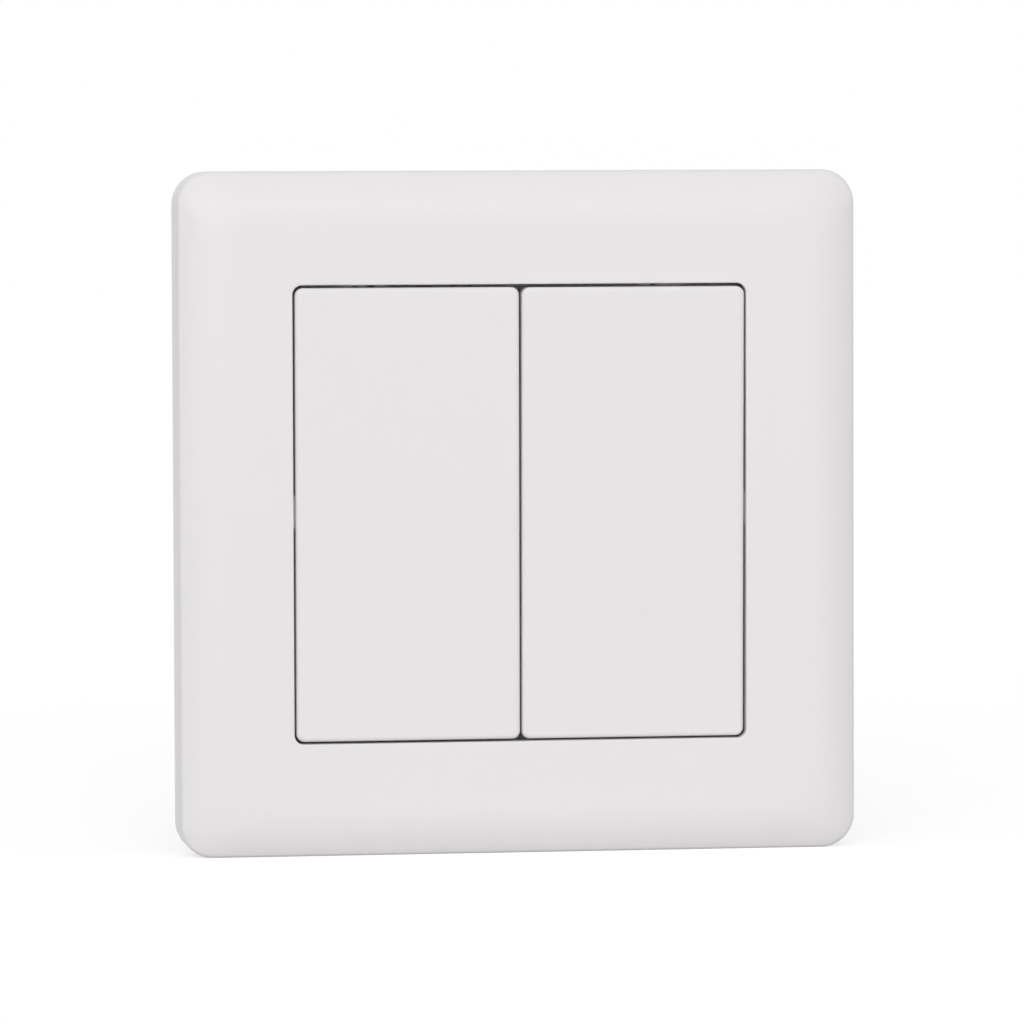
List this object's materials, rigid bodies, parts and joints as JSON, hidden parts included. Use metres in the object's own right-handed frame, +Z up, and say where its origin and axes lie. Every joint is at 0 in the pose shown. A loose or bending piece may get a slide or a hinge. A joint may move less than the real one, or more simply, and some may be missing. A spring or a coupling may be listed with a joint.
{
  "type": "bell push switch",
  "caption": "Flush square wall bell push with two tall blank spring-return keys in a softly crowned frame, with its wired contact unit behind.",
  "frame": {"origin": "middle of the plate on the wall's surface, midway between the two fixing slots", "axes": "+X to the right seen from the room, +Z up, +Y into the wall; the face looks along -Y"},
  "size_m": [0.086, 0.0295, 0.086],
  "materials": {
    "shell_white": "satin moulded white",
    "carrier_white": "fine matt moulded white",
    "body_grey": "fine matt moulded light grey",
    "plunger_black": "smooth dark moulded plastic",
    "contact_brass": "bright stamped brass",
    "contact_silver": "bright silver",
    "spring_steel": "drawn spring wire",
    "screw_zinc": "zinc-plated steel"
  },
  "bodies": {
    "wall_unit": {"face_frame": "shell_white", "mounting_frame": "carrier_white", "switch_body": "body_grey", "body_cover": "carrier_white", "left_return_spring": "spring_steel", "right_return_spring": "spring_steel", "left_feed_terminal": "contact_brass", "left_bell_terminal": "contact_brass", "right_feed_terminal": "contact_brass", "right_bell_terminal": "contact_brass", "fixed_tips": "contact_silver", "terminal_screws": "screw_zinc", "body_screws": "screw_zinc"},
    "left_key_body": {"left_key": "shell_white", "left_rocker": "carrier_white"},
    "left_plunger_body": {"left_plunger": "plunger_black", "left_bridge": "contact_brass", "left_bridge_tips": "contact_silver", "left_contact_spring": "spring_steel"},
    "right_key_body": {"right_key": "shell_white", "right_rocker": "carrier_white"},
    "right_plunger_body": {"right_plunger": "plunger_black", "right_bridge": "contact_brass", "right_bridge_tips": "contact_silver", "right_contact_spring": "spring_steel"}
  },
  "joints": [
    {"name": "left_key_press", "type": "hinge", "parent": "wall_unit", "child": "left_key_body", "pos_m": [-0.0143, -0.005, 0], "axis": [-1, 0, 0], "range_deg": [0, 3.3], "stiffness_Nm_per_rad": 0.5, "springref_deg": -3.44},
    {"name": "left_plunger_slide", "type": "slide", "parent": "wall_unit", "child": "left_plunger_body", "axis": [0, 1, 0], "range_m": [0, 0.00093], "deforming": ["left_return_spring"]},
    {"name": "right_key_press", "type": "hinge", "parent": "wall_unit", "child": "right_key_body", "pos_m": [0.0143, -0.005, 0], "axis": [-1, 0, 0], "range_deg": [0, 4.1], "stiffness_Nm_per_rad": 0.5, "springref_deg": -3.44},
    {"name": "right_plunger_slide", "type": "slide", "parent": "wall_unit", "child": "right_plunger_body", "axis": [0, 1, 0], "range_m": [0, 0.00115], "deforming": ["right_return_spring"]}
  ],
  "couplings": [
    {"joint": "left_plunger_slide", "follows": "left_key_press", "m_per_rad": 0.016},
    {"joint": "right_plunger_slide", "follows": "right_key_press", "m_per_rad": 0.016}
  ]
}
